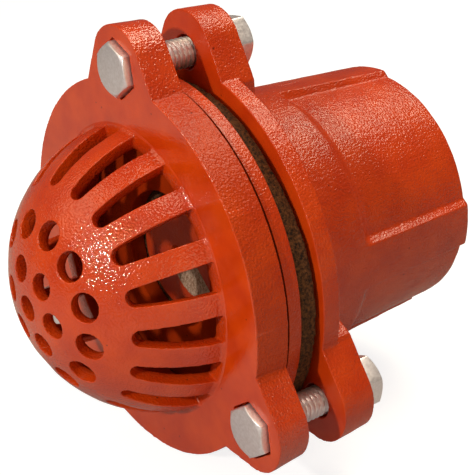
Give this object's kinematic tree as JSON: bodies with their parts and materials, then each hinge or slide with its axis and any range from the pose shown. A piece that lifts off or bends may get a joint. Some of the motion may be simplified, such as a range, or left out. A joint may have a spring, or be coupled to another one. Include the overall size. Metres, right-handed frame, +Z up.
{
  "type": "foot valve",
  "caption": "Cast-iron foot valve: a domed slotted strainer bolted to a threaded socket body, with a weighted leather flap that lets water up the suction pipe and not back.",
  "frame": {"origin": "centre of the bounding box in plan, at the level of the surface that the flange rims lie on", "axes": "+X along the valve's axis from the strainer to the threaded socket, +Z up towards the top lug, +Y to the left seen along +X"},
  "size_m": [0.1824, 0.1776, 0.1785],
  "materials": {
    "strainer_enamel": "gloss red enamel over rough sand-cast iron",
    "seat_ring_enamel": "gloss red enamel over turned cast iron",
    "body_enamel": "gloss red enamel over rough sand-cast iron",
    "flap_weight_enamel": "red enamel on cast iron",
    "flap_plate_enamel": "red enamel on steel plate",
    "bolt_1_zinc": "bright zinc plate on forged steel",
    "bolt_2_zinc": "bright zinc plate on forged steel",
    "bolt_3_zinc": "bright zinc plate on forged steel",
    "nut_1_zinc": "bright zinc plate on forged steel",
    "nut_2_zinc": "bright zinc plate on forged steel",
    "nut_3_zinc": "bright zinc plate on forged steel",
    "flap_stud_zinc": "bright zinc plate on forged steel",
    "flap_nut_zinc": "bright zinc plate on forged steel",
    "flap_washer_zinc": "bright zinc plate on forged steel",
    "flap_lock_washer_zinc": "bright zinc plate on forged steel",
    "leather_gasket_hide": "thick brown hide, cut by hand",
    "flap_leather_hide": "thick brown hide, cut by hand"
  },
  "bodies": {
    "valve": {"strainer": "strainer_enamel", "seat_ring": "seat_ring_enamel", "leather_gasket": "leather_gasket_hide", "body": "body_enamel", "bolt_1": "bolt_1_zinc", "bolt_2": "bolt_2_zinc", "bolt_3": "bolt_3_zinc", "nut_1": "nut_1_zinc", "nut_2": "nut_2_zinc", "nut_3": "nut_3_zinc"},
    "flap": {"flap_leather": "flap_leather_hide", "flap_plate": "flap_plate_enamel", "flap_weight": "flap_weight_enamel", "flap_washer": "flap_washer_zinc", "flap_lock_washer": "flap_lock_washer_zinc", "flap_stud": "flap_stud_zinc", "flap_nut": "flap_nut_zinc"}
  },
  "joints": [
    {"name": "flap_hinge", "type": "hinge", "parent": "valve", "child": "flap", "pos_m": [-0.01816, 0, 0.1215], "axis": [0, -1, 0], "range_deg": [0, 60]}
  ]
}
